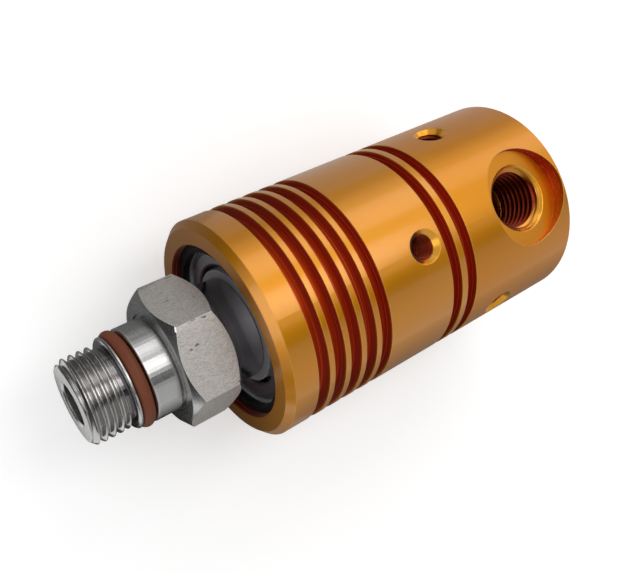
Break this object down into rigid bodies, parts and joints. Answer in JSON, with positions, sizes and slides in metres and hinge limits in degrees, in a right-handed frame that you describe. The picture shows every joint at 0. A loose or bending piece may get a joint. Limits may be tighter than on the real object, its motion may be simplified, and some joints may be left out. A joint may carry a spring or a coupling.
{
  "type": "rotary union",
  "caption": "Rotary union: grooved gold housing with a side port, on ball bearings round a hollow threaded steel rotor with hex and sealed pilot.",
  "frame": {"origin": "centre of the rotor's hex face that seats against the driven shaft", "axes": "+X along the rotor axis towards the closed end of the housing, +Z out of the inlet port, thread towards -X"},
  "size_m": [0.104, 0.044, 0.044],
  "materials": {
    "gold_anodised": "satin gold anodised",
    "stainless": "machined",
    "bearing_steel": "ground and polished",
    "pressed_steel": "pressed sheet, satin",
    "black_spring_steel": "black phosphate",
    "spring_wire": "drawn wire",
    "brown_rubber": "fluorocarbon rubber, satin",
    "black_rubber": "satin",
    "carbon": "lapped carbon graphite",
    "seal_ceramic": "lapped silicon carbide"
  },
  "bodies": {
    "rotor": {"rotor": "stainless", "pilot_o_ring": "brown_rubber", "front_bearing_inner_ring": "bearing_steel", "rear_bearing_inner_ring": "bearing_steel", "inner_spacer": "stainless", "rotor_retaining_ring": "black_spring_steel", "rotating_seal_ring": "seal_ceramic", "seal_ring_o_ring": "black_rubber"},
    "housing": {"bearing_housing": "gold_anodised", "end_housing": "gold_anodised", "housing_joint_o_ring": "black_rubber", "housing_retaining_ring": "black_spring_steel", "outer_spacer": "stainless", "front_bearing_outer_ring": "bearing_steel", "front_bearing_shields": "pressed_steel", "rear_bearing_outer_ring": "bearing_steel", "rear_bearing_shields": "pressed_steel", "anti_rotation_pins": "stainless", "seal_spring": "spring_wire"},
    "floating_seal": {"seal_carrier": "stainless", "carbon_seal_ring": "carbon", "carrier_o_ring": "black_rubber"},
    "front_balls": {"front_bearing_balls": "bearing_steel", "front_bearing_cage": "pressed_steel"},
    "rear_balls": {"rear_bearing_balls": "bearing_steel", "rear_bearing_cage": "pressed_steel"}
  },
  "joints": [
    {"name": "housing_spin", "type": "hinge", "parent": "rotor", "child": "housing", "pos_m": [0.05, 0, 0], "axis": [1, 0, 0], "continuous": true},
    {"name": "front_balls_spin", "type": "hinge", "parent": "rotor", "child": "front_balls", "pos_m": [0.0212, 0, 0], "axis": [1, 0, 0], "continuous": true},
    {"name": "rear_balls_spin", "type": "hinge", "parent": "rotor", "child": "rear_balls", "pos_m": [0.0392, 0, 0], "axis": [1, 0, 0], "continuous": true},
    {"name": "seal_float", "type": "slide", "parent": "housing", "child": "floating_seal", "axis": [1, 0, 0], "range_m": [0, 0.0015], "stiffness_N_per_m": 1500, "springref_m": -0.001, "deforming": ["seal_spring"]}
  ],
  "couplings": [
    {"joint": "front_balls_spin", "follows": "housing_spin", "ratio": 0.59158},
    {"joint": "rear_balls_spin", "follows": "housing_spin", "ratio": 0.59158}
  ]
}
